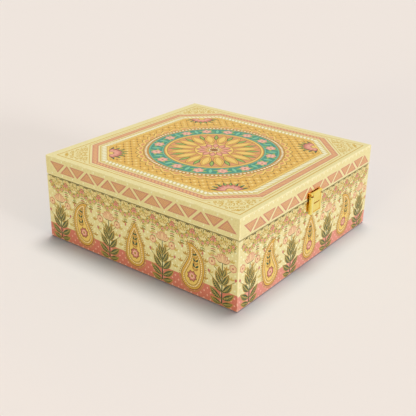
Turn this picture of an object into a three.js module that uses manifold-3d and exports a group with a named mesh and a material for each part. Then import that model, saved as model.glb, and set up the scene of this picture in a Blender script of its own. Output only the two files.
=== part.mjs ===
// A flat square box for sweet jars, with a hinged lid and a small pressed clasp.
// Finger-jointed fibreboard panels are covered outside with printed paper and lined with plain paper.
// Millimetres. X runs along the front, +Y towards the hinges, +Z up; the origin is under the middle.
import * as THREE from "three";
import { RoundedBoxGeometry } from "three/addons/geometries/RoundedBoxGeometry.js";
import { mergeVertices } from "three/addons/utils/BufferGeometryUtils.js";
import Module from "manifold-3d";

// The closed box
const WIDTH = 254;
const DEPTH = 254;
const HEIGHT = 96;
const LID_HEIGHT = 21.6;
const PARTING_GAP = 0.8;
const EDGE_RADIUS = 1;

// Boards, papers and glue lines
const WALL = 4;
const FLOOR = 3;
const LID_TOP = 4;
const PAPER = 0.5;
const LINING = 0.5;
const GLUE = 0.1;
const TURN_IN = 14;
const LINING_DROP = 4;
const UNDERSIDE_INSET = 2;
const BASE_FINGERS = 7;
const LID_FINGERS = 3;
const FINGER_FIT = 0.1;

// Dividers: two boards each way, half-lapped, make three cells by three
const CELLS = 3;
const DIVIDER = 3;
const DIVIDER_HEIGHT = 52;
const DIVIDER_CORNER = 6;
const DIVIDER_END_FIT = 0.5;
const LAP_FIT = 0.3;

// Fits of the metal pieces: on what they lie on, round a pin, beside a knuckle, round a shank, past a tip
const SEAT = 0.1;
const PIN_FIT = 0.08;
const KNUCKLE_FIT = 0.3;
const SHANK_FIT = 0.1;
const TIP_FIT = 0.3;

// Hinges, on the outside of the back; a leaf is measured from the pin's axis
const HINGE_SPACING = 150;
const HINGE_WIDTH = 24;
const HINGE_LEAF = 14;
const HINGE_CORNER = 2.5;
const HINGE_METAL = 0.9;
const HINGE_KNUCKLE = 3.8;
const HINGE_MIDDLE = 8;
const HINGE_PIN = 1.8;
const SCREW_SIDE = 5;
const SCREW_END = 5;
const SCREW_HEAD = 3.4;
const SCREW_HEAD_HEIGHT = 0.7;
const SCREW_SHANK = 1.8;
const SCREW_COVER = 1.2;

// Clasp, in the middle of the front; the flap and its slit are measured from the pin's axis
const CLASP_WIDTH = 24;
const CLASP_AXIS_UP = 6.4;
const CLASP_METAL = 0.7;
const CLASP_KNUCKLE = 3.7;
const CLASP_MIDDLE = 14.5;
const CLASP_PIN = 1.8;
const CLASP_PIN_RECESS = 0.4;
const CLASP_CORNER = 1.5;
const CLASP_EDGE = 0.8;
const FLAP_WIDTH = 20.8;
const FLAP_DROP = 20.9;
const FLAP_ROLL = 2;
const FLAP_CREST = 0.7;
const FLAP_LIP = 2;
const FLAP_STAND_OFF = 1.1;
const SLIT_LENGTH = 10.8;
const SLIT_HEIGHT = 1.3;
const SLIT_DROP = 9.8;
const CATCH_HEIGHT = 10.8;
const BEAD_END = 0.6;
const BEAD_WIDTH = 3.4;
const BEAD_FIT = 0.2;
const NAIL_SIDE = 3.75;
const LID_NAIL_RISE = 1.9;
const CATCH_NAIL_RISE = 3.4;
const NAIL_HEAD = 2.4;
const NAIL_HEAD_HEIGHT = 0.5;
const NAIL_SHANK = 1.2;
const NAIL_COVER = 1;

// Facets: steps in a rounded edge, in an arc, round a knuckle or pin, and round a shank
const EDGE_STEPS = 3;
const ARC_STEPS = 8;
const ROUND_STEPS = 24;
const SHANK_STEPS = 12;

// Levels, from the table up
const BASE_TOP = HEIGHT - LID_HEIGHT - PARTING_GAP;
const LID_BOTTOM = HEIGHT - LID_HEIGHT;
const PARTING = BASE_TOP + PARTING_GAP / 2;
const WRAP_BOTTOM = PAPER + GLUE;
const BOARD_BOTTOM = WRAP_BOTTOM + PAPER + GLUE;
const BASE_BOARD_TOP = BASE_TOP - PAPER - GLUE;
const FLOOR_TOP = BOARD_BOTTOM + FLOOR;
const INSIDE_BOTTOM = FLOOR_TOP + GLUE + LINING;
const LID_BOARD_TOP = HEIGHT - PAPER - GLUE;
const LID_CEILING = LID_BOARD_TOP - LID_TOP;
const RIM_BOTTOM = LID_BOTTOM + PAPER + GLUE;
const RIM_TOP = LID_CEILING - GLUE;
const INSIDE_TOP = LID_CEILING - GLUE - LINING;

// Insets, from the outside of the box inwards
const BOARD_INSET = PAPER + GLUE;
const WALL_INSET = BOARD_INSET + WALL;
const TURN_INSET = WALL_INSET + GLUE + PAPER;
const LINING_INSET = TURN_INSET + GLUE + LINING;

// Heights of the clasp's plates, from the parting line
const LID_PLATE_BOTTOM = PARTING_GAP / 2 + CLASP_EDGE;
const CATCH_TOP = -PARTING_GAP / 2 - CLASP_EDGE;
const CATCH_BOTTOM = CATCH_TOP - CATCH_HEIGHT;

// Places along the box of what comes in pairs
const HINGE_PLACES = [-HINGE_SPACING / 2, HINGE_SPACING / 2];
const SCREW_PLACES = [-HINGE_WIDTH / 2 + SCREW_SIDE, HINGE_WIDTH / 2 - SCREW_SIDE];
const NAIL_PLACES = [-CLASP_WIDTH / 2 + NAIL_SIDE, CLASP_WIDTH / 2 - NAIL_SIDE];
const SCREW_DROP = HINGE_LEAF - SCREW_END;

// The four sides. In a side's own frame +Y points out of the box and X runs along the side; fingers of
// one parity reach the corners.
const SIDES = [
  { name: "back", angle: 0, reach: DEPTH / 2, length: WIDTH, parity: 0 },
  { name: "left", angle: Math.PI / 2, reach: WIDTH / 2, length: DEPTH, parity: 1 },
  { name: "front", angle: Math.PI, reach: DEPTH / 2, length: WIDTH, parity: 0 },
  { name: "right", angle: 1.5 * Math.PI, reach: WIDTH / 2, length: DEPTH, parity: 1 },
];

const FINISH = {
  print: { color: 0xe8dca4, roughness: 0.55, metalness: 0 },
  board: { color: 0xa98a62, roughness: 0.9, metalness: 0 },
  lining: { color: 0xefe4cc, roughness: 0.8, metalness: 0 },
  divider: { color: 0xe6d6b4, roughness: 0.8, metalness: 0 },
  gilt: { color: 0xd9ae45, roughness: 0.22, metalness: 1 },
};

const wasm = await Module();
wasm.setup();

// A solid that can be joined and cut, from a closed geometry.
function solid(geometry) {
  const bare = geometry.clone();
  bare.deleteAttribute("normal");
  bare.deleteAttribute("uv");
  const merged = mergeVertices(bare, 1e-5);
  const vertProperties = new Float32Array(merged.attributes.position.array);
  const triVerts = new Uint32Array(merged.index.array);
  return new wasm.Manifold(new wasm.Mesh({ numProp: 3, vertProperties, triVerts }));
}

// The geometry of a joined or cut solid.
function geometryOf(shape) {
  const { vertProperties, triVerts } = shape.getMesh();
  const geometry = new THREE.BufferGeometry();
  geometry.setAttribute("position", new THREE.BufferAttribute(vertProperties, 3));
  geometry.setIndex(new THREE.BufferAttribute(triVerts, 1));
  geometry.computeVertexNormals();
  return geometry;
}

// A named piece, from a geometry or a solid, with a material of its own.
function piece(name, shape, finish) {
  const geometry = shape.isBufferGeometry ? shape : geometryOf(shape);
  const mesh = new THREE.Mesh(geometry, new THREE.MeshStandardMaterial({ ...finish }));
  mesh.name = name;
  return mesh;
}

// A block between two corners.
function block(low, high) {
  const size = high.map((value, axis) => value - low[axis]);
  const middle = high.map((value, axis) => (value + low[axis]) / 2);
  return new THREE.BoxGeometry(...size).translate(...middle);
}

// A level sheet on the box's footprint, drawn in from its four sides.
function slab(inset, bottom, top) {
  const x = WIDTH / 2 - inset;
  const y = DEPTH / 2 - inset;
  return block([-x, -y, bottom], [x, y, top]);
}

// A band of paper round the four sides, between two insets.
function band(outer, inner, bottom, top) {
  return solid(slab(outer, bottom, top)).subtract(solid(slab(inner, bottom - PAPER, top + PAPER)));
}

// The box's footprint between two levels, with all its edges rounded. The paper has to cover the square
// corners of the boards, so its thickness limits the radius.
function roundedSlab(bottom, top) {
  const cover = 0.9;
  const radius = Math.min(EDGE_RADIUS, (cover * PAPER) / (1 - Math.sqrt(1 / 3)));
  const geometry = new RoundedBoxGeometry(WIDTH, DEPTH, top - bottom, EDGE_STEPS, radius);
  return geometry.translate(0, 0, (top + bottom) / 2);
}

// A round bar along X.
function bar(diameter, from, to) {
  const rod = new THREE.CylinderGeometry(diameter / 2, diameter / 2, to - from, ROUND_STEPS);
  return rod.rotateZ(Math.PI / 2).translate((from + to) / 2, 0, 0);
}

// A hole for a shank along Y, to be cut.
function hole(diameter, x, z, from, to) {
  const bit = new THREE.CylinderGeometry(diameter / 2, diameter / 2, to - from, SHANK_STEPS);
  return solid(bit.translate(x, (from + to) / 2, z));
}

function extrude(outline, depth) {
  return new THREE.ExtrudeGeometry(outline, { depth, bevelEnabled: false, curveSegments: ARC_STEPS });
}

// An outline in X and Z as a standing plate, between two depths along Y.
function plate(outline, from, to) {
  return extrude(outline, to - from).rotateX(Math.PI / 2).translate(0, to, 0);
}

// A rectangle with its two lower corners rounded.
function tongue(width, bottom, top, corner) {
  const x = width / 2;
  const outline = new THREE.Shape();
  outline.moveTo(-x, top);
  outline.lineTo(-x, bottom + corner);
  outline.absarc(-x + corner, bottom + corner, corner, Math.PI, 1.5 * Math.PI, false);
  outline.absarc(x - corner, bottom + corner, corner, 1.5 * Math.PI, 2 * Math.PI, false);
  outline.lineTo(x, top);
  return outline;
}

// A round-headed fastener along Y: its head outside, its shank and point in the board.
function fastener(head, headHeight, shank, length) {
  const profile = new THREE.Path();
  profile.moveTo(0, -length);
  profile.lineTo(shank / 2, -length + shank);
  profile.lineTo(shank / 2, 0);
  profile.absellipse(0, 0, head / 2, headHeight, 0, Math.PI / 2, false, 0);
  return new THREE.LatheGeometry(profile.getPoints(ARC_STEPS / 4), SHANK_STEPS);
}

// Where shanks enter a side of the base or the lid, and how much board is left past their points.
function shanks(sideName, half) {
  const onLid = half === "lid";
  if (sideName === "back") {
    const z = PARTING + (onLid ? SCREW_DROP : -SCREW_DROP);
    const places = HINGE_PLACES.flatMap((hinge) => SCREW_PLACES.map((screw) => hinge + screw));
    return places.map((x) => ({ x, z, diameter: SCREW_SHANK + 2 * SHANK_FIT, cover: SCREW_COVER }));
  }
  if (sideName === "front") {
    const rise = onLid ? LID_PLATE_BOTTOM + LID_NAIL_RISE : CATCH_BOTTOM + CATCH_NAIL_RISE;
    const z = PARTING + rise;
    return NAIL_PLACES.map((x) => ({ x, z, diameter: NAIL_SHANK + 2 * SHANK_FIT, cover: NAIL_COVER }));
  }
  return [];
}

// The outline of a side board. Every other finger at its ends reaches the corner, and the rest stop a
// board's thickness short, so that the next side's fingers fill the gaps.
function fingerOutline(length, height, fingers, parity) {
  const pitch = height / fingers;
  const steps = [];
  for (let finger = 0; finger < fingers; finger += 1) {
    const long = finger % 2 === parity;
    const trim = (long ? FINGER_FIT : -FINGER_FIT) / 2;
    const reach = length / 2 - (long ? 0 : WALL + FINGER_FIT);
    const low = finger === 0 ? 0 : finger * pitch + trim;
    const high = finger === fingers - 1 ? height : (finger + 1) * pitch - trim;
    steps.push(new THREE.Vector2(reach, low), new THREE.Vector2(reach, high));
  }
  const mirrored = steps.map((point) => new THREE.Vector2(-point.x, point.y)).reverse();
  return new THREE.Shape([...steps, ...mirrored]);
}

// The four boards round one half of the box, drilled from outside for the shanks that they take.
function sideBoards(half, suffix, bottom, top, fingers) {
  return SIDES.map((side) => {
    const outer = side.reach - BOARD_INSET;
    const outline = fingerOutline(side.length - 2 * BOARD_INSET, top - bottom, fingers, side.parity);
    let board = solid(plate(outline, outer - WALL, outer).translate(0, 0, bottom));
    for (const { x, z, diameter, cover } of shanks(side.name, half)) {
      board = board.subtract(hole(diameter, x, z, outer - WALL + cover - TIP_FIT, side.reach));
    }
    const mesh = piece(`${half}_${side.name}_${suffix}`, board, FINISH.board);
    mesh.rotation.z = side.angle;
    return mesh;
  });
}

// Printed paper, pierced for the shanks at the back and the front.
function pierced(wrap, half) {
  let sheet = wrap;
  for (const { x, z, diameter } of shanks("back", half)) {
    sheet = sheet.subtract(hole(diameter, x, z, DEPTH / 2 - BOARD_INSET, DEPTH / 2 + PAPER));
  }
  for (const { x, z, diameter } of shanks("front", half)) {
    sheet = sheet.subtract(hole(diameter, x, z, -DEPTH / 2 - PAPER, -DEPTH / 2 + BOARD_INSET));
  }
  return sheet;
}

// The base: boards, the printed wrap turned in over the rim and under the bottom, a sheet that closes
// the bottom, and the lining.
function makeBase() {
  const base = new THREE.Group();
  base.add(...sideBoards("base", "panel", BOARD_BOTTOM, BASE_BOARD_TOP, BASE_FINGERS));
  base.add(piece("base_floor_panel", slab(WALL_INSET + GLUE, BOARD_BOTTOM, FLOOR_TOP), FINISH.board));

  const wrap = solid(roundedSlab(WRAP_BOTTOM, BASE_TOP))
    .subtract(solid(slab(PAPER, WRAP_BOTTOM + PAPER, BASE_TOP - PAPER)))
    .subtract(solid(slab(TURN_INSET, BASE_TOP - 2 * PAPER, BASE_TOP + PAPER)))
    .subtract(solid(slab(TURN_IN, 0, WRAP_BOTTOM + 2 * PAPER)))
    .add(band(WALL_INSET + GLUE, TURN_INSET, BASE_TOP - TURN_IN, BASE_TOP - PAPER / 2));
  base.add(piece("base_wrap", pierced(wrap, "base"), FINISH.print));
  base.add(piece("base_underside_sheet", slab(UNDERSIDE_INSET, 0, PAPER), FINISH.lining));

  const walls = band(TURN_INSET + GLUE, LINING_INSET, INSIDE_BOTTOM + GLUE, BASE_TOP - LINING_DROP);
  base.add(piece("base_wall_lining", walls, FINISH.lining));
  const floor = slab(WALL_INSET + GLUE, FLOOR_TOP + GLUE, INSIDE_BOTTOM);
  base.add(piece("base_floor_lining", floor, FINISH.lining));
  return base;
}

// A divider board with rounded upper corners, slotted half its height where two others cross it.
function dividerBoard(length, crossing, slotsOpenUp) {
  const upright = tongue(length, -DIVIDER_HEIGHT, 0, DIVIDER_CORNER);
  let board = solid(plate(upright, -DIVIDER / 2, DIVIDER / 2).rotateY(Math.PI));
  const side = (DIVIDER + LAP_FIT) / 2;
  const middle = (DIVIDER_HEIGHT + (slotsOpenUp ? -LAP_FIT : LAP_FIT)) / 2;
  const low = slotsOpenUp ? middle : -LAP_FIT;
  const high = slotsOpenUp ? DIVIDER_HEIGHT + LAP_FIT : middle;
  for (const x of [-crossing, crossing]) {
    board = board.subtract(solid(block([x - side, -DIVIDER, low], [x + side, DIVIDER, high])));
  }
  return board;
}

// The dividers stand on the floor lining, between the wall linings.
function makeDividers() {
  const clearX = WIDTH - 2 * LINING_INSET;
  const clearY = DEPTH - 2 * LINING_INSET;
  const pitchX = (clearX + DIVIDER) / CELLS;
  const pitchY = (clearY + DIVIDER) / CELLS;
  const along = dividerBoard(clearX - 2 * DIVIDER_END_FIT, pitchX / 2, true);
  const across = dividerBoard(clearY - 2 * DIVIDER_END_FIT, pitchY / 2, false);
  const dividers = new THREE.Group();
  for (const [name, direction] of [["front", -1], ["back", 1]]) {
    const mesh = piece(`divider_${name}`, along, FINISH.divider);
    mesh.position.y = (direction * pitchY) / 2;
    dividers.add(mesh);
  }
  for (const [name, direction] of [["left", -1], ["right", 1]]) {
    const mesh = piece(`divider_${name}`, across, FINISH.divider);
    mesh.position.x = (direction * pitchX) / 2;
    mesh.rotation.z = Math.PI / 2;
    dividers.add(mesh);
  }
  dividers.position.z = INSIDE_BOTTOM + GLUE;
  return dividers;
}

// The lid: a top board on four rims, the printed wrap over them and the lining.
function makeLid() {
  const lid = new THREE.Group();
  lid.add(piece("lid_top_panel", slab(BOARD_INSET, LID_CEILING, LID_BOARD_TOP), FINISH.board));
  lid.add(...sideBoards("lid", "rim", RIM_BOTTOM, RIM_TOP, LID_FINGERS));

  const wrap = solid(roundedSlab(LID_BOTTOM, HEIGHT))
    .subtract(solid(slab(PAPER, LID_BOTTOM + PAPER, HEIGHT - PAPER)))
    .subtract(solid(slab(TURN_INSET, LID_BOTTOM - PAPER, LID_BOTTOM + 2 * PAPER)))
    .add(band(WALL_INSET + GLUE, TURN_INSET, LID_BOTTOM + PAPER / 2, INSIDE_TOP - GLUE));
  lid.add(piece("lid_wrap", pierced(wrap, "lid"), FINISH.print));

  const rims = band(TURN_INSET + GLUE, LINING_INSET, LID_BOTTOM + LINING_DROP, INSIDE_TOP - GLUE);
  lid.add(piece("lid_rim_lining", rims, FINISH.lining));
  const ceiling = slab(WALL_INSET + GLUE, INSIDE_TOP, LID_CEILING - GLUE);
  lid.add(piece("lid_ceiling_lining", ceiling, FINISH.lining));
  return lid;
}

// A hinge leaf hangs from its pin, with +Y away from the box. It lies on the paper and is rolled round
// the pin at its knuckles; between them it stays clear of the other leaf's.
function hingeLeaf(knuckles) {
  const radius = HINGE_KNUCKLE / 2;
  const front = HINGE_METAL - radius;
  const outline = tongue(HINGE_WIDTH, -HINGE_LEAF, -radius - KNUCKLE_FIT, HINGE_CORNER);
  let leaf = solid(plate(outline, -radius, front));
  for (const [from, to] of knuckles) {
    leaf = leaf.add(solid(block([from, -radius, -HINGE_KNUCKLE], [to, front, 0])));
    leaf = leaf.add(solid(bar(HINGE_KNUCKLE, from, to)));
  }
  leaf = leaf.subtract(solid(bar(HINGE_PIN + 2 * PIN_FIT, -HINGE_WIDTH, HINGE_WIDTH)));
  for (const x of SCREW_PLACES) {
    leaf = leaf.subtract(hole(SCREW_SHANK + 2 * SHANK_FIT, x, -SCREW_DROP, -HINGE_KNUCKLE, HINGE_KNUCKLE));
  }
  return leaf;
}

// Two hinges. The base's leaf has the outer knuckles and grips the pin; the lid's leaf has the middle one.
function makeHinges() {
  const radius = HINGE_KNUCKLE / 2;
  const end = HINGE_WIDTH / 2;
  const middle = HINGE_MIDDLE / 2;
  const baseLeaf = hingeLeaf([[-end, -middle - KNUCKLE_FIT], [middle + KNUCKLE_FIT, end]]);
  const lidLeaf = hingeLeaf([[-middle, middle]]);
  const headSeat = HINGE_METAL - radius + SEAT;
  const length = 2 * SEAT + HINGE_METAL + BOARD_INSET + WALL - SCREW_COVER;
  const screw = fastener(SCREW_HEAD, SCREW_HEAD_HEIGHT, SCREW_SHANK, length);
  const hinges = new THREE.Group();
  HINGE_PLACES.forEach((place, index) => {
    const name = `hinge_${["left", "right"][index]}`;
    const hinge = new THREE.Group();
    hinge.position.set(place, DEPTH / 2 + SEAT + radius, PARTING);
    const upper = piece(`${name}_lid_leaf`, lidLeaf, FINISH.gilt);
    upper.rotation.y = Math.PI;
    hinge.add(upper, piece(`${name}_base_leaf`, baseLeaf, FINISH.gilt));
    hinge.add(piece(`${name}_pin`, bar(HINGE_PIN, -end, end), FINISH.gilt));
    for (const [half, drop] of [["base", -SCREW_DROP], ["lid", SCREW_DROP]]) {
      SCREW_PLACES.forEach((x, number) => {
        const mesh = piece(`${name}_${half}_screw_${number + 1}`, screw, FINISH.gilt);
        mesh.position.set(x, headSeat, drop);
        hinge.add(mesh);
      });
    }
    hinges.add(hinge);
  });
  return hinges;
}

// The section of the flap, seen from above: a flat panel, its sides rolled into a raised round and bent
// back towards the box. Its outer face comes first, then its inner face, one metal thickness in.
function flapSection(radius, sideEnd) {
  const half = FLAP_WIDTH / 2;
  const centre = half - FLAP_ROLL;
  const level = radius + FLAP_CREST - FLAP_ROLL;
  const inner = FLAP_ROLL - CLASP_METAL;
  const meet = Math.asin((radius - level) / FLAP_ROLL);
  const innerMeet = Math.asin((radius - CLASP_METAL - level) / inner);
  const section = new THREE.Shape();
  section.moveTo(half, sideEnd);
  section.lineTo(half, level);
  section.absarc(centre, level, FLAP_ROLL, 0, Math.PI - meet, false);
  section.absarc(-centre, level, FLAP_ROLL, meet, Math.PI, false);
  section.lineTo(-half, sideEnd);
  section.lineTo(CLASP_METAL - half, sideEnd);
  section.absarc(-centre, level, inner, Math.PI, innerMeet, true);
  section.absarc(centre, level, inner, Math.PI - innerMeet, 0, true);
  section.lineTo(half - CLASP_METAL, sideEnd);
  return section;
}

// The flap: the pressed panel with its slit and lower lip. Its middle runs on up and is rolled round the pin.
function claspFlap(radius, sideEnd) {
  const shoulder = -radius - KNUCKLE_FIT;
  const pressed = extrude(flapSection(radius, sideEnd), FLAP_DROP + shoulder).translate(0, 0, -FLAP_DROP);
  const lipEnd = FLAP_WIDTH / 2 - FLAP_ROLL;
  const lip = bar(FLAP_LIP, -lipEnd, lipEnd);
  lip.translate(0, radius + FLAP_CREST - FLAP_LIP / 2, FLAP_LIP / 2 - FLAP_DROP);
  const middle = CLASP_MIDDLE / 2;
  const root = block([-middle, radius - CLASP_METAL, shoulder - CLASP_METAL], [middle, radius, 0]);
  const roll = bar(CLASP_KNUCKLE, -middle, middle);
  const flap = solid(pressed).add(solid(lip)).add(solid(root)).add(solid(roll));
  const slit = block(
    [-SLIT_LENGTH / 2, radius - 2 * CLASP_METAL, -SLIT_DROP - SLIT_HEIGHT / 2],
    [SLIT_LENGTH / 2, radius + CLASP_METAL, -SLIT_DROP + SLIT_HEIGHT / 2],
  );
  const bore = bar(CLASP_PIN + 2 * PIN_FIT, -CLASP_WIDTH, CLASP_WIDTH);
  return flap.subtract(solid(slit)).subtract(solid(bore));
}

// The plate on the lid: above each side of the flap an ear is bent forward over the pin and rolled round it.
function claspLidPlate(radius, back, front) {
  const bottom = LID_PLATE_BOTTOM - CLASP_AXIS_UP;
  const start = CLASP_MIDDLE / 2 + KNUCKLE_FIT;
  const end = FLAP_WIDTH / 2;
  let lidPlate = solid(plate(tongue(CLASP_WIDTH, bottom, radius, CLASP_CORNER), back, front));
  for (const [from, to] of [[-end, -start], [start, end]]) {
    const bend = block([from, back, radius - CLASP_METAL], [to, 0, radius]);
    lidPlate = lidPlate.add(solid(bend)).add(solid(bar(CLASP_KNUCKLE, from, to)));
  }
  lidPlate = lidPlate.subtract(solid(bar(CLASP_PIN + 2 * PIN_FIT, -CLASP_WIDTH, CLASP_WIDTH)));
  for (const x of NAIL_PLACES) {
    lidPlate = lidPlate.subtract(hole(NAIL_SHANK + 2 * SHANK_FIT, x, bottom + LID_NAIL_RISE, 2 * back, 0));
  }
  return lidPlate;
}

// The catch plate on the base: a bead pressed out of it stands behind the flap's slit.
function claspCatchPlate(radius, back, front) {
  const top = CATCH_TOP - CLASP_AXIS_UP;
  const bottom = CATCH_BOTTOM - CLASP_AXIS_UP;
  const beadHeight = radius - CLASP_METAL - BEAD_FIT - front;
  const beadEnd = SLIT_LENGTH / 2 - BEAD_END;
  const bead = new THREE.CylinderGeometry(1, 1, 2 * beadEnd, ROUND_STEPS).rotateZ(Math.PI / 2);
  bead.scale(1, beadHeight, BEAD_WIDTH / 2).translate(0, front, -SLIT_DROP);
  const room = block([-CLASP_WIDTH, back, 2 * bottom], [CLASP_WIDTH, radius, 0]);
  const sheet = plate(tongue(CLASP_WIDTH, bottom, top, CLASP_CORNER), back, front);
  let catchPlate = solid(bead).intersect(solid(room)).add(solid(sheet));
  for (const x of NAIL_PLACES) {
    const z = bottom + CATCH_NAIL_RISE;
    catchPlate = catchPlate.subtract(hole(NAIL_SHANK + 2 * SHANK_FIT, x, z, 2 * back, 0));
  }
  return catchPlate;
}

// The clasp stands on its pin, on the front: +Y points away from the box, so its group is turned round.
function makeClasp() {
  const radius = CLASP_KNUCKLE / 2;
  const front = -radius - KNUCKLE_FIT;
  const back = front - CLASP_METAL;
  const pinEnd = FLAP_WIDTH / 2 - CLASP_PIN_RECESS;
  const clasp = new THREE.Group();
  clasp.position.set(0, -DEPTH / 2 + back - SEAT, PARTING + CLASP_AXIS_UP);
  clasp.rotation.z = Math.PI;
  clasp.add(piece("clasp_flap", claspFlap(radius, front + FLAP_STAND_OFF), FINISH.gilt));
  clasp.add(piece("clasp_pin", bar(CLASP_PIN, -pinEnd, pinEnd), FINISH.gilt));
  clasp.add(piece("clasp_lid_plate", claspLidPlate(radius, back, front), FINISH.gilt));
  clasp.add(piece("clasp_catch_plate", claspCatchPlate(radius, back, front), FINISH.gilt));

  const length = 2 * SEAT + CLASP_METAL + BOARD_INSET + WALL - NAIL_COVER;
  const nail = fastener(NAIL_HEAD, NAIL_HEAD_HEIGHT, NAIL_SHANK, length);
  const rows = [
    ["lid", LID_PLATE_BOTTOM + LID_NAIL_RISE],
    ["catch", CATCH_BOTTOM + CATCH_NAIL_RISE],
  ];
  for (const [row, rise] of rows) {
    NAIL_PLACES.forEach((x, number) => {
      const mesh = piece(`clasp_${row}_nail_${number + 1}`, nail, FINISH.gilt);
      mesh.position.set(x, front + SEAT, rise - CLASP_AXIS_UP);
      clasp.add(mesh);
    });
  }
  return clasp;
}

export default new THREE.Group().add(makeBase(), makeDividers(), makeLid(), makeHinges(), makeClasp());
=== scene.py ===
"""A flat square keepsake box for sweet jars: printed cream paper over fibreboard, with gilt fittings.

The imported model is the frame. Its boards, papers and fittings get their finishes here, and the print on
the paper is added as thin films of ink. A print is drawn on its face in millimetres, as complex numbers
(real along the face, imaginary up it), and everything else is in metres.
"""
import math

import bpy
import numpy as np
from mathutils import Matrix, Vector


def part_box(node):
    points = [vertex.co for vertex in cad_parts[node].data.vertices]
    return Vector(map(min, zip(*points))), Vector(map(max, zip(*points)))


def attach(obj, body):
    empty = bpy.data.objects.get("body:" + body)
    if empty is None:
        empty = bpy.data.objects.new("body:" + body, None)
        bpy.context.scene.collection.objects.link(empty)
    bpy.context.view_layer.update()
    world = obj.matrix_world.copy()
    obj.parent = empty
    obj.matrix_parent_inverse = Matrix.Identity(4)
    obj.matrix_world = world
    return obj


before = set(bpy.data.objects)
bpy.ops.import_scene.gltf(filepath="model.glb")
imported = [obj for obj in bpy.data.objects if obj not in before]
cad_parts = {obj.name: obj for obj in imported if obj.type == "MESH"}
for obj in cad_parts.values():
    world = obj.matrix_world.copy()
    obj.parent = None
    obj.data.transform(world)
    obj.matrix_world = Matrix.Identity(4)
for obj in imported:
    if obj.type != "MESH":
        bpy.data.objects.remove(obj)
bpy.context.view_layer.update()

# Boards of the base and the lid: medium-density fibreboard, sawn flat, finger-jointed and glued.
# Paper covers both sides of them, so hardly more than a raw edge ever shows.
BOARD_PALE = (182, 146, 102)
BOARD_DARK = (138, 102, 66)
BOARD_FLECK = 0.0012
BOARD_CLOUD = 0.018
BOARD_TOOTH = 0.00008
BOARD_NODES = [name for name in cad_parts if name.endswith(("_panel", "_rim"))]


class Shade:
    """A socket of a material. Arithmetic on it adds Math nodes, and node() adds any other node."""

    def __init__(self, tree, socket=None):
        self.tree = tree
        self.socket = socket

    def node(self, kind, settings=None, inputs=None, output=0):
        """A new node with its settings, then the values or links of its inputs; gives one output."""
        made = self.tree.nodes.new("ShaderNode" + kind)
        for name, value in (settings or {}).items():
            setattr(made, name, value)
        for name, value in (inputs or {}).items():
            if isinstance(value, Shade):
                self.tree.links.new(value.socket, made.inputs[name])
            else:
                made.inputs[name].default_value = value
        return Shade(self.tree, made.outputs[output])

    def math(self, operation, *values):
        return self.node("Math", {"operation": operation}, dict(enumerate(values)))

    def __add__(self, other):
        return self.math("ADD", self, other)

    def __sub__(self, other):
        return self.math("SUBTRACT", self, other)

    def __rsub__(self, other):
        return self.math("SUBTRACT", other, self)

    def __mul__(self, other):
        return self.math("MULTIPLY", self, other)

    def __truediv__(self, other):
        return self.math("DIVIDE", self, other)

    def __gt__(self, other):
        return self.math("GREATER_THAN", self, other)

    def __lt__(self, other):
        return self.math("LESS_THAN", self, other)

    def __abs__(self):
        return self.math("ABSOLUTE", self)

    def least(self, other):
        return self.math("MINIMUM", self, other)

    def most(self, other):
        return self.math("MAXIMUM", self, other)

    __radd__ = __add__
    __rmul__ = __mul__


def tone(red, green, blue):
    """A colour as a screen shows it, from 0 to 255, in the linear values that a shader takes."""
    share = np.array([red, green, blue]) / 255
    linear = np.where(share > 0.04045, ((share + 0.055) / 1.055) ** 2.4, share / 12.92)
    return (*map(float, linear), 1.0)


def place(shade):
    """Where a point lies in the box's frame, in metres."""
    return shade.node("TexCoord", output="Object")


def noise(shade, size, detail=2.0, where=None):
    """Cloudy noise from 0 to 1, with clouds of about this size."""
    inputs = {"Vector": where or place(shade), "Scale": 1 / size, "Detail": detail}
    return shade.node("TexNoise", None, inputs, "Fac")


def clamp(value):
    """A value held between 0 and 1."""
    return value.node("Clamp", None, {"Value": value})


def contrast(value, gain):
    """A value spread further about its middle, and held between 0 and 1."""
    return clamp((value - 0.5) * gain + 0.5)


def mix(share, low, high):
    """One colour where share is 0 and the other where it is 1."""
    return share.node("Mix", {"data_type": "RGBA"}, {0: share, 6: low, 7: high}, 2)


def bump(height, depth):
    """A normal bent as if the surface rose by up to this depth."""
    return height.node("Bump", None, {"Height": height, "Distance": depth}, "Normal")


def finish(name, make):
    """A material: make takes a Shade and gives the values or links of the surface's sockets."""
    material = bpy.data.materials.new(name)
    material.use_nodes = True
    tree = material.node_tree
    surface = tree.nodes["Principled BSDF"]
    for socket, value in make(Shade(tree)).items():
        if isinstance(value, Shade):
            tree.links.new(value.socket, surface.inputs[socket])
        else:
            surface.inputs[socket].default_value = value
    return material


def dress(material, names):
    """Gives nodes of the frame their finish."""
    for name in names:
        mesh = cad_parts[name].data
        mesh.materials.clear()
        mesh.materials.append(material)


def fibreboard(shade):
    fleck = contrast(noise(shade, BOARD_FLECK, 4.0), 2.5)
    cloud = noise(shade, BOARD_CLOUD)
    return {
        "Base Color": mix(0.6 * fleck + 0.4 * cloud, tone(*BOARD_DARK), tone(*BOARD_PALE)),
        "Roughness": 0.8 + 0.15 * fleck,
        "Normal": bump(fleck, BOARD_TOOTH),
    }


dress(finish("fibreboard", fibreboard), BOARD_NODES)

# Linings and the sheet under the bottom: plain ivory paper with long fibres in it, pasted in last.
# They hide the turned-in edges of the print.
LINING_PALE = (243, 234, 212)
LINING_DARK = (228, 215, 186)
FIBRE_SIZE = 0.006
FIBRE_DRAWN_OUT = (1.0, 7.0, 7.0)
TOOTH_SIZE = 0.0007
LINING_TOOTH = 0.00006
LINING_NODES = [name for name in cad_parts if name.endswith(("_lining", "_sheet"))]


def paper_tooth(shade):
    """The fine tooth of a paper's face."""
    return noise(shade, TOOTH_SIZE, 3.0)


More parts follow.
